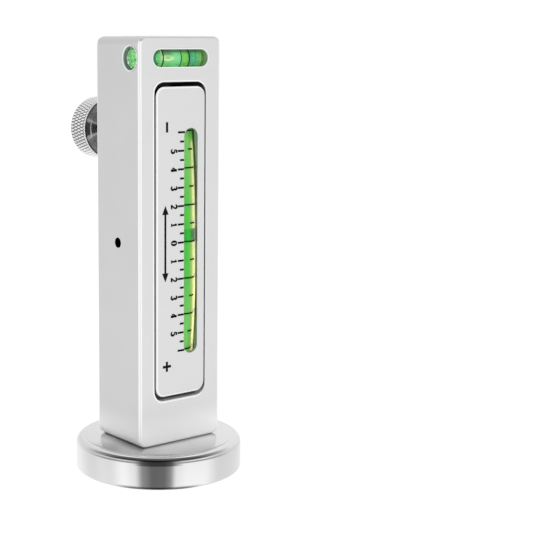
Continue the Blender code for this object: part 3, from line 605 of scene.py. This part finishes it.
def coiledSpring():
    # The wire climbs a pitch a turn, with nearly closed turns at both ends, between its two seats.
    spring = dict(radius=2.6, wire=0.35, turns=5, front=1.05, end=10.35, height=45.55, closedPitch=0.82,
                  closedTurns=0.8, easeTurns=0.3, around=12, stepsPerTurn=30)
    turns, steps, start, end = (spring[key] for key in ("turns", "stepsPerTurn", "front", "end"))
    turn = np.linspace(0, turns, turns * steps + 1)
    opening = np.clip((np.minimum(turn, turns - turn) - spring["closedTurns"]) / spring["easeTurns"], 0, 1)
    climb = np.concatenate([[0], np.cumsum((opening[1:] + opening[:-1]) / 2)]) / steps
    closed = spring["closedPitch"] * turn
    outward = alongY(np.insert(circle(-2 * np.pi * turn), 2, 0, axis=1))
    line = spring["radius"] * outward
    line[:, 1] = start + closed + (end - start - closed[-1]) * climb / climb[-1]
    forward = np.gradient(line, axis=0)
    aside = np.cross(forward / np.linalg.norm(forward, axis=1)[:, None], outward)
    around = fullTurn(spring["around"])[:, None]
    section = outward[:, None] * np.cos(around) + aside[:, None] * np.sin(around)
    reach = np.full(len(turn) + 2, spring["wire"])
    reach[[0, -1]] = 0
    ends = np.concatenate([[0], np.arange(len(turn)), [len(turn) - 1]])
    points = line[ends][:, None] + section[ends] * reach[:, None, None] + np.array([0, 0, spring["height"]])
    coil = newPiece("return_spring_coil", points, springWire, None, 50, ("return_spring",))
    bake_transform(coil)


camberVial = dict(axisY=-8.6, bend=370, halfLength=43.5, radius=4.1, bore=3.3, fill=3.36, cap=2.9, around=64,
                  along=61)


def bentPoints(radius, along, around):
    # The vial's line bends back: y = axis + bend * (1 - cos a), z = zero + bend * sin a.
    bend = along / camberVial["bend"]
    reach = camberVial["bend"] + radius * np.sin(around)
    y = camberVial["axisY"] + camberVial["bend"] - reach * np.cos(bend)
    return np.stack([slotMiddle + radius * np.cos(around), y, zero + reach * np.sin(bend)], axis=-1)


def bentGrid(profile):
    # A profile (radius, distance along) carried round that line.
    radius, along = np.array(profile, float).T[..., None]
    return bentPoints(radius, along, fullTurn(camberVial["around"]))


def camberVialPieces():
    # Tube, liquid and air are such profiles, and each ring is a small box section carried round.
    half, radius, fill = camberVial["halfLength"], camberVial["radius"], camberVial["fill"]
    steps = np.linspace(-half, half, camberVial["along"])
    tube = [(radius, along) for along in steps] + [(camberVial["bore"], along) for along in steps[::-1]]
    newPiece("camber_vial_glass", bentGrid(tube), glassFinish("vialGlass", (0.93, 0.99, 0.93), 0.03), "rocker",
             replaced=("camber_vial_tube",), ring=True)

    end = half - camberVial["cap"]
    liquid = [(0, -end)] + [(fill, along) for along in np.linspace(-end, end, camberVial["along"])] + [(0, end)]
    newPiece("camber_vial_filling", bentGrid(liquid), camberLiquidFinish(), "rocker", 40,
             ("camber_vial_liquid",))

    bubble = dict(start=-0.1, end=4.6, round=0.35, proud=0.04)
    corner, low, high = bubble["round"], bubble["start"], bubble["end"]
    reach = fill + bubble["proud"] - corner
    air = [(0, low)] + arcOf((reach, low + corner), corner, -90, 0)
    air += arcOf((reach, high - corner), corner, 0, 90) + [(0, high)]
    newPiece("camber_vial_bubble", bentGrid(air), camberBubbleFinish(), "rocker", 40)

    marks = dict(half=0.3, shortFrom=54, shortTo=90, last=6, low=radius - 0.02, high=radius + 0.04)
    section = boxSection(marks["low"], marks["high"], -marks["half"], marks["half"])
    grids = [bentGrid([(reach, degree * gauge["degree"] + side) for reach, side in section])
             for degree in range(-marks["last"], marks["last"] + 1, 2)]
    newPiece("camber_vial_rings", grids, greenInk, "rocker", ring=True)

    # Short marks on one side of the tube at the odd degrees, with closed ends.
    around = np.radians(np.linspace(marks["shortFrom"], marks["shortTo"], 12))
    around = np.concatenate([around[:1], around, around[-1:]])
    closing = np.concatenate([[0], np.ones(12), [0]])
    reach, side = np.array(section).T[..., None]
    middle = radius + 0.01
    grids = [bentPoints(middle + (reach - middle) * closing, degree * gauge["degree"] + side * closing,
                        around).transpose(1, 0, 2) for degree in range(1 - marks["last"], marks["last"], 2)]
    newPiece("camber_vial_marks", grids, greenInk, "rocker")


def crossVialPieces():
    # Profiles of (radius, place along) turned about the cross vial's axis.
    vial = dict(radius=4.1, start=-16.75, end=13.65, chamfer=0.9, chamber=2.7, chamberStart=-13.15, rings=(-6.55, 4.8),
                ringHalf=0.25, bubble=(-6.25, 1.8), plug=10.65, around=96)
    radius, chamber, start, end, plug = (vial[key] for key in ("radius", "chamber", "start", "end", "plug"))
    fill = chamber + 0.05

    def lying(*profile):
        return alongX(turnedGrid(profile, vial["around"]), crossVial)

    barrel = lying((0, start), (radius - vial["chamfer"], start), (radius, start + vial["chamfer"]), (radius, end),
                   (chamber, end), (chamber, vial["chamberStart"] + 0.4), (chamber - 0.4, vial["chamberStart"]),
                   (0, vial["chamberStart"]))
    newPiece("cross_vial_block", barrel, acrylicFinish(), "housing", replaced=("cross_vial_barrel",))
    start = vial["chamberStart"] - 0.05
    filling = crossLiquidFinish()
    newPiece("cross_vial_filling", lying((0, start), (fill - 0.4, start), (fill, start + 0.4), (fill, plug), (0, plug)),
             filling, "housing", replaced=("cross_vial_liquid",))
    newPiece("cross_vial_stopper", lying((0, plug), (fill, plug), (fill, end), (0, end)), plugFinish(), "housing",
             replaced=("cross_vial_plug",))

    start, end = vial["bubble"]
    bubble = lying((0, start), (fill - 0.9, start), (fill - 0.2, start + 0.3), (fill + 0.03, start + 1),
                   (fill + 0.03, end - 1), (fill - 0.2, end - 0.3), (fill - 0.9, end), (0, end))
    newPiece("cross_vial_bubble", bubble, filling, "housing", 50)
    # The bubble's end shows as a thin teal ring of painted shade.
    line = lying(*boxSection(fill + 0.02, fill + 0.06, end - 0.15, end + 0.3))
    newPiece("cross_vial_meniscus", line, meniscusShade, "housing", ring=True)
    grids = [lying(*boxSection(radius - 0.02, radius + 0.04, x - vial["ringHalf"], x + vial["ringHalf"]))
             for x in vial["rings"]]
    newPiece("cross_vial_rings", grids, greenInk, "housing", ring=True)


def glassFinish(name, tint, roughness):
    glass = Finish(name, Transmission_Weight=1, IOR=1.45, Specular_IOR_Level=0.05)
    haze = glass.noise(0.35)
    pale = tuple(min(1, part * 1.04) for part in tint)
    return glass.feed(Base_Color=haze.blend(tint, pale), Roughness=haze * roughness)


def acrylicFinish():
    # Clear green, but its left end is a lens that glows with painted light, full of painted glints, with a painted dark
    # ring round it and a painted darker outer part.
    tint = (0.86, 0.99, 0.88)
    acrylic = glassFinish("greenAcrylic", tint, 0.04)
    across, deep, upward = acrylic.away(*crossVial)
    outward = (deep * deep + upward * upward).root()
    fromGlint = ((deep - 2.3) * (deep - 2.3) + (upward + 1.65) * (upward + 1.65)).root()
    glints = acrylic.noise(1.1, 3, 0.6)
    lens = glints.ramp((0.34, (0.03, 0.24, 0.04)), (0.44, (0.12, 0.5, 0.1)), (0.58, (0.26, 0.7, 0.2)),
                       (0.66, (0.9, 1, 0.8)))
    edge = glints.smooth(0.56, 0.62).blend((0.07, 0.11, 0.085), (0.75, 0.85, 0.78))
    lens = lens.coats(((outward + (glints - 0.5) * 1.2).smooth(2.7, 3.2), edge),
                      (fromGlint.smooth(0.65, 0.3), (1, 1, 0.95)))
    atEnd = across.smooth(-15.4, -16)
    return acrylic.feed(
        Base_Color=(atEnd * outward.smooth(3, 3.5)).blend(tint, (0.1, 0.22, 0.15)),
        Emission_Color=atEnd.blend((0.02, 0.04, 0.03), lens), Emission_Strength=0.6)


def liquidFinish(name, strength):
    # A liquid that glows with painted light.
    return Finish(name, Roughness=0.3, Emission_Strength=strength, Specular_IOR_Level=0)


def camberLiquidFinish():
    # Painted light and shade: mint, full green, olive and a pale yellow streak of painted highlight, at distances from
    # the vial's middle line, darker at the right and at the ends.
    stops = ((-3.4, (0.1, 0.3, 0.08)), (-1.95, (0.12, 0.32, 0.11)), (-1.6, (0.05, 0.34, 0.034)),
             (-1.1, (0.018, 0.34, 0.012)), (-0.45, (0.024, 0.33, 0.016)), (0, (0.065, 0.305, 0.034)),
             (0.55, (0.16, 0.3, 0.065)), (1.05, (0.33, 0.32, 0.11)), (1.7, (0.67, 0.65, 0.32)),
             (2.3, (1, 0.95, 0.64)), (3.36, (1, 0.95, 0.64)))
    liquid = liquidFinish("camberLiquid", 0.9)
    across, deep, along = liquid.away(slotMiddle, 0, zero)
    across = across - along * along * 0.00035 - along.smooth(-4, -26) * 0.35 - along.smooth(-20, -38) * 0.1
    wander = (liquid.noise(0.45, stretch=(1, 1, 0.25)) - 0.5) * 0.05
    return liquid.glow(across.spread(8, wander, stops).coats(
        (abs(along).smooth(2, 36) * across.smooth(1.2, 0.4) * 0.6, (0.16, 0.38, 0.105)),
        ((across + along.highest(0) * 0.014).smooth(3, 3.3) * 0.85, (0.09, 0.16, 0.07)),
        (along.smooth(33.5, 36.5) * across.smooth(0.2, 1) * 0.8, (0.07, 0.27, 0.035)),
        (along.smooth(35.5, 38.5) * 0.6, (0.03, 0.17, 0.02)),
        (liquid.noise(0.25, stretch=(1, 1, 0.3)) * 0.3, (0.08, 0.5, 0.05)),
        (abs(along).smooth(34, 42) * 0.4, (0.13, 0.34, 0.065))))


def camberBubbleFinish():
    # Painted light and shade on the bubble: full green at its left, a dark line and a grey-green right side.
    stops = ((-3.4, (0.004, 0.43, 0.01)), (0.1, (0.004, 0.43, 0.01)), (0.7, (0.03, 0.3, 0.03)),
             (1.1, (0.07, 0.25, 0.08)), (1.6, (0.1, 0.29, 0.15)), (2.4, (0.17, 0.33, 0.22)), (3.3, (0.1, 0.25, 0.12)))
    air = liquidFinish("camberBubble", 0.45)
    across, deep, along = air.away(slotMiddle, 0, zero)
    wander = (air.noise(0.8, stretch=(1, 1, 0.5)) - 0.5) * 0.06
    line = abs(across - 1.15).smooth(0.4, 0.12) * abs(along - 2.3).smooth(1.3, 0.9)
    return air.glow(across.spread(8, wander, stops).coats((line * 0.85, (0.05, 0.07, 0.02))))


def crossLiquidFinish():
    # Painted light and shade: bright green, the bubble's mint, yellow green and teal, at distances from the gauge's
    # middle.
    stops = ((-13.3, (0.14, 0.72, 0.14)), (-11.4, (0.03, 0.2, 0.12)), (-10.2, (0.03, 0.22, 0.14)),
             (-9.5, (0.12, 0.66, 0.16)), (-8, (0.13, 0.68, 0.14)), (-7, (0.3, 0.78, 0.28)), (-3, (0.2, 0.72, 0.22)),
             (-1, (0.27, 0.82, 0.35)), (1.5, (0.22, 0.78, 0.36)), (2.1, (0.14, 0.6, 0.08)), (3.4, (0.23, 0.72, 0.08)),
             (4.6, (0.21, 0.68, 0.07)), (5.3, (0.06, 0.44, 0.18)), (7.5, (0.04, 0.46, 0.22)),
             (8.7, (0.05, 0.48, 0.18)), (9.6, (0.16, 0.52, 0.11)), (10.6, (0.24, 0.6, 0.09)))
    liquid = liquidFinish("crossLiquid", 0.28)
    across, deep, upward = liquid.away(*crossVial)
    wander = (liquid.noise(0.9, stretch=(1, 1, 0.6)) - 0.5) * 0.03
    streaks = liquid.noise(1.3, 3, stretch=(0.9, 0.9, 1.6))
    # The bubble gets painted shade above and a ring of painted highlight, which is brightest below.
    shade = across.between(-6.5, -5.8, -3.6, -0.8) * (upward + (streaks - 0.5) * 1.6).smooth(0.3, 0.9)
    ring = ((across + 4) * (across + 4) / 4 + (upward - 0.1) * (upward - 0.1) / 0.42).root()
    crescent = abs(ring - 1).smooth(0.6, 0.25) * ((upward + across * 0.12).smooth(0.15, -0.45) * 0.6 + 0.4)
    pale = abs(across + 6.75 - upward * 0.12).smooth(0.4, 0.15) * upward.smooth(-0.8, -0.3)
    # Painted shadow: the window's round left end darkens the liquid behind it.
    rim = ((across + 6.7) * (across + 6.7) + upward * upward * 2.1).root()
    # The top is painted dark in the shadow of the window's upper edge, and a pale painted highlight runs just left of
    # the left ring mark.
    return liquid.glow(across.spread(28, wander, stops).coats(
        (streaks.smooth(0.5, 0.68) * 0.45, (0.42, 0.9, 0.28)), (streaks.smooth(0.42, 0.3) * 0.5, (0.02, 0.28, 0.1)),
        (shade * 0.75, (0.19, 0.27, 0.15)), (crescent, (0.82, 1, 0.55)),
        (upward.smooth(1.3, 1.9) * 0.75, (0.03, 0.12, 0.03)), (pale * 0.7, (0.7, 0.95, 0.45)),
        (rim.smooth(2.3, 2.6) * across.smooth(-7.4, -8.2) * 0.85, (0.012, 0.13, 0.075))))


def rimGrid(outline, section):
    # A thin ring along a closed outline (a, b): each point of the section is laid off square to it.
    run = np.roll(outline, -1, axis=0) - np.roll(outline, 1, axis=0)
    out = run[:, ::-1] / np.linalg.norm(run, axis=1, keepdims=True) * (1, -1)
    return np.stack([np.insert(outline + out * offset, 2, depth, axis=1) for offset, depth in section])


def facing(points, middle):
    # An outline (a, b, depth) laid on the gauge's front, at a height.
    return points[..., [0, 2, 1]] + np.array([0, front, middle])


def roundedOutline(halfWidth, halfHeight, corner):
    # Counterclockwise, a quarter turn about each round corner's centre.
    quarter, sides = np.linspace(0, 90, 9), ((1, 1), (-1, 1), (-1, -1), (1, -1))
    return np.concatenate([np.array(side) * (halfWidth - corner, halfHeight - corner)
                           + corner * circle(np.radians(quarter + 90 * turn)) for turn, side in enumerate(sides)])


def edgeRing(outline, inner, outer, deep):
    # A ring of painted highlight along an edge: it stands a little proud and slopes off to its outer side.
    return rimGrid(outline, [(outer, -0.02), (inner, -0.02), (inner, deep), (outer, 0.05)])


def faceOutlines():
    # Flat lines of painted highlight beside the pocket's mouth and the plate's edge, wider at their left.
    line = dict(width=0.26, shift=0.2, deep=0.2, edge=0.3)
    pieces = (("pocket_outline", (11.25, 56.1, 4), 1, "housing", "blasted_aluminium"),
              ("plate_outline", (10.7, 54.5, 3.45), -1, "rocker", "plate_aluminium"))
    for name, size, side, body, slot in pieces:
        start = side * line["edge"]
        points = edgeRing(roundedOutline(*size), start, start + side * line["width"], line["deep"])
        points[[0, 3], :, 0] -= side * line["shift"]
        newPiece(name, facing(points, zero), paintedHighlight, body, 40, ring=True)


def windowRims():
    # Painted highlights on the edges of the front window and of the round side window.
    rim = dict(halfLength=8.95, halfHeight=3.05, inner=-0.03, outer=0.22, deep=0.3, round=4.12, side=-17.75, around=96)
    right = circle(np.radians(np.linspace(-90, 90, 33))) * rim["halfHeight"] + np.array([rim["halfLength"], 0])
    window, bore = (edgeRing(outline, rim["inner"], rim["outer"], rim["deep"])
                    for outline in (np.concatenate([right, -right]), rim["round"] * circle(fullTurn(rim["around"]))))
    left = bore[..., [2, 0, 1]] + np.array([rim["side"], *crossVial[1:]])
    for name, grid in (("window_edge_front", facing(window, crossVial[2])), ("window_edge_side", left)):
        newPiece(name, grid, paintedHighlight, "housing", 40, ring=True)


# Marks are thin slabs that stand a little proud of the plate's face.
mark = dict(front=front - 0.02, back=front - 0.02 + 0.03)


def markShell(start, end, axis):
    # From one edge to the other at a mark's front, and back again behind it.
    edges = ((start, "front"), (end, "front"), (end, "back"), (start, "back"))
    return np.stack([np.insert(edge, 1, mark[face], axis=1) for edge, face in edges], axis=axis)


def slabGrid(corners):
    # A flat four-sided mark: corners (x, z) in order, as a closed slab.
    corners = np.array(corners, float)
    return markShell(corners * 0 + corners.mean(axis=0), corners, 0)


def barGrid(x, z, halfWidth, halfHeight):
    return slabGrid(boxSection(x - halfWidth, x + halfWidth, z - halfHeight, z + halfHeight))


def strokeGrid(path, widths):
    # A pen stroke: half the width is laid off to both sides of the path, square to its run.
    run = np.gradient(path, axis=0)
    run /= np.linalg.norm(run, axis=1, keepdims=True)
    side = run[:, ::-1] * (-1, 1) * (np.broadcast_to(widths, (len(path),))[:, None] / 2)
    middle = (mark["front"] + mark["back"]) / 2
    first, last = (np.insert(path[[end] * 4], 1, middle, axis=1)[None] for end in (0, -1))
    return np.concatenate([first, markShell(path + side, path - side, 1), last])


def curvePoints(centre, size, fromAngle, toAngle):
    # Part of an ellipse: centre + size * (cos a, sin a).
    return np.array(centre) + np.array(size) * circle(np.radians(np.linspace(fromAngle, toAngle, 15)))


def digitStrokes(digit):
    # Strokes (points, widths) of a figure one unit tall, with thick sides and thin joins.
    thick, thin = 0.33, 0.17
    swell = thin + (thick - thin) * np.sin(np.linspace(0, np.pi, 15)) ** 1.2
    top = curvePoints((0, 0.7), (0.23, 0.26), 170, -40)
    return {
        0: [(curvePoints((0, 0.5), (0.24, 0.45), start, start + 180), swell) for start in (90, -90)],
        1: [([(0.02, 0.02), (0.02, 0.97)], thick * 0.8), ([(-0.22, 0.06), (0.26, 0.06)], thin),
            ([(0.02, 0.92), (-0.2, 0.74)], thin)],
        2: [(top, swell), ([top[-1], (0, 0.3), (-0.24, 0.06)], [thick * 0.8, thick * 0.6, thin]),
            ([(-0.26, 0.07), (0.28, 0.07)], thick * 0.85), ([(0.26, 0.05), (0.29, 0.22)], thin)],
        3: [(curvePoints((-0.02, 0.73), (0.21, 0.23), 160, -80), swell),
            (curvePoints((-0.02, 0.29), (0.25, 0.25), 85, -160), swell), ([(-0.08, 0.52), (0.06, 0.52)], thin)],
        4: [([(0.1, 0), (0.1, 0.98)], thick), ([(0.1, 0.95), (-0.27, 0.3)], thin),
            ([(-0.3, 0.27), (0.3, 0.27)], thin), ([(-0.08, 0.03), (0.27, 0.03)], thin)],
        5: [(curvePoints((-0.02, 0.31), (0.26, 0.28), 120, -160), swell), ([(-0.17, 0.5), (-0.13, 0.95)], thin),
            ([(-0.15, 0.92), (0.24, 0.92)], thick * 0.9)],
    }[digit]


def scaleMarks():
    # Lines every half degree, longer at whole ones, figures that read from the right, two signs
    # and a double arrow.
    scale = dict(line=0.74, longStart=-1.25, shortStart=-0.3, lineEnd=1.42, endReach=0.4, halfDegrees=12,
                 figureHeight=2.55, figureMiddle=-2.9, figureRange=5)
    lines = []
    for half in range(-scale["halfDegrees"], scale["halfDegrees"] + 1):
        start = scale["longStart"] if half % 2 == 0 else scale["shortStart"]
        end = scale["lineEnd"] + (scale["endReach"] if abs(half) == scale["halfDegrees"] else 0)
        lines.append(barGrid((start + end) / 2, zero + half * gauge["degree"] / 2, (end - start) / 2,
                             scale["line"] / 2))

    figures, height = [], scale["figureHeight"]
    for degree in range(-scale["figureRange"], scale["figureRange"] + 1):
        for points, widths in digitStrokes(abs(degree)):
            own = np.array(points, float)
            # A quarter turn clockwise: the figure's up is +X of the plate's and its right is down.
            x = scale["figureMiddle"] + (own[:, 1] - 0.5) * height
            z = zero + degree * gauge["degree"] - own[:, 0] * height
            figures.append(strokeGrid(np.stack([x, z], -1), np.array(widths) * height))

    sign = dict(x=-6, upper=124.2, lower=39.8, half=1.8, line=0.475)
    half, line = sign["half"], sign["line"]
    signs = [barGrid(sign["x"], sign[key], line, half) for key in ("upper", "lower")]
    signs += [barGrid(sign["x"] + side * (half + line) / 2, sign["lower"], (half - line) / 2, line) for side in (-1, 1)]

    arrow = dict(x=-6.7, half=13.5, head=3.2, line=0.425, headHalf=1.4)
    middle, wing = arrow["x"], arrow["headHalf"]
    arrows = [barGrid(middle, zero, arrow["line"], arrow["half"] - arrow["head"])]
    for side in (1, -1):
        tip, root = zero + side * arrow["half"], zero + side * (arrow["half"] - arrow["head"])
        arrows.append(slabGrid([(middle, tip), (middle - wing, root), (middle, root), (middle + wing, root)]))
    for name, grids in (("lines", lines), ("figures", figures), ("signs", signs), ("arrow", arrows)):
        newPiece("scale_" + name, grids, blackInk, "rocker")
    print("scale marked")


studio = dict(
    floorHalf=3,
    floorGlow=1.16,  # the floor's own light, so that it shows as white where no shadow lies
    shadowShare=0.22,
    ambient=0.86,
    front=(-0.5986, -0.8011),  # the side of the room that the magnet's wall mirrors, a dark doorway
    wallTones=((-180, 0.78), (-144, 0.8), (-106, 0.68), (-74, 0.77), (-49, 1), (-34, 0.86), (-21, 0.25),
               (-8, 0.13), (8, 0.14), (15.5, 0.25), (26, 0.88), (42, 0.98), (65, 0.97), (94, 0.72), (140, 0.76),
               (180, 0.78)),
    wallLight=1.22,
    upperDark=0.3,
    lamps=(("keySoftbox", (0.9, -1.7, 1), 1.4, 4), ("sideSoftbox", (-1.9, 0.4, 0.7), 1.2, 2)),
    lampAim=(0, 0, 0.08),
)


def stageFloor():
    # White for the camera with a little of the object's shadow, and clear in reflections.
    reach = studio["floorHalf"]
    mesh = bpy.data.meshes.new("floor")
    corners = [(-reach, -reach, 0), (reach, -reach, 0), (reach, reach, 0), (-reach, reach, 0)]
    mesh.from_pydata(corners, [], [(0, 1, 2, 3)])
    newObject("floor", mesh)
    white = Finish("floorWhite", Base_Color=0.9, Roughness=0.9)
    mesh.materials.append(white.material)
    mirrored = white.node("ShaderNodeLightPath", output="Is Glossy Ray")
    glow = white.node("ShaderNodeEmission", Color=1, Strength=studio["floorGlow"])
    lit = Value(white.tree, white.shader.outputs[0])
    shown = white.node("ShaderNodeMixShader", _0=1 - studio["shadowShare"], _1=lit, _2=glow)
    seen = white.node("ShaderNodeMixShader", _0=mirrored, _1=shown, _2=white.node("ShaderNodeBsdfTransparent"))
    fill(white.tree, white.tree.nodes["Material Output"], {"Surface": seen})


def studioRoom():
    # White behind the object. What metal mirrors is a pale room with a dark doorway in front,
    # a dark band high up and a light ceiling.
    world = bpy.data.worlds.new("studio")
    bpy.context.scene.world = world
    room = Finish("studio", owner=world)
    camera, glossy, through = (room.node("ShaderNodeLightPath", output=name)
                               for name in ("Is Camera Ray", "Is Glossy Ray", "Is Transmission Ray"))
    x, y, z = room.axes(room.node("ShaderNodeTexCoord", output="Generated"))
    frontX, frontY = studio["front"]
    ahead, aside = x * frontX + y * frontY, y * frontX - x * frontY
    bearing = ahead.math("ARCTAN2", aside, ahead) / (2 * math.pi) + 0.5
    stops = [(angle / 360 + 0.5, tone) for angle, tone in studio["wallTones"]]
    walls = bearing.ramp(*stops, easing="EASE") * studio["wallLight"]
    band = z.between(0.4, 0.52, 0.8, 0.9) * ahead.smooth(-0.1, 0.3)
    ceiling = z.smooth(0.8, 0.9)
    mirrored = walls * (1 - ceiling) + ceiling * studio["wallLight"]
    mirrored = mirrored * (1 - band * (1 - studio["upperDark"])) * z.smooth(-0.15, -0.5, 1, 1.1)
    mirrored = mirrored * (1 - z.smooth(-0.15, 0.2) * aside.smooth(0.2, -0.4) * 0.13)
    back = camera.highest(through)
    light = (1 - glossy) * studio["ambient"] + glossy * mirrored
    room.feed(Color=1, Strength=back + (1 - back) * light)

    for name, place, size, power in studio["lamps"]:
        lamp = bpy.data.lights.new(name, "AREA")
        lamp.shape, lamp.size, lamp.energy = "SQUARE", size, power
        holder = newObject(name, lamp)
        holder.location = place
        holder.visible_glossy = False
        x, y, z = np.array(studio["lampAim"]) - np.array(place)
        holder.rotation_euler = (math.atan2(math.hypot(x, y), -z), 0, math.atan2(-x, y))


def photoCamera():
    # The place, turn, lens and shift were fitted to edges in the photo.
    data = bpy.data.cameras.new("camera")
    data.lens, data.sensor_width, data.shift_x, data.shift_y = 89.102, 36, 0.2, -0.08
    data.clip_start, data.clip_end = 0.01, 20
    camera = newObject("camera", data)
    camera.location = (-0.27988, -0.37542, 0.15249)
    camera.rotation_euler = (math.radians(90 - 7.749), 0, math.radians(-36.767))
    bpy.context.scene.camera = camera


dressedParts()
magnetCup()
knurledKnob()
threadedScrew()
coiledSpring()
camberVialPieces()
crossVialPieces()
windowRims()
faceOutlines()
print("turned pieces and vials made")
scaleMarks()
stageFloor()
studioRoom()
photoCamera()

view = bpy.context.scene.view_settings
view.view_transform = "Standard"
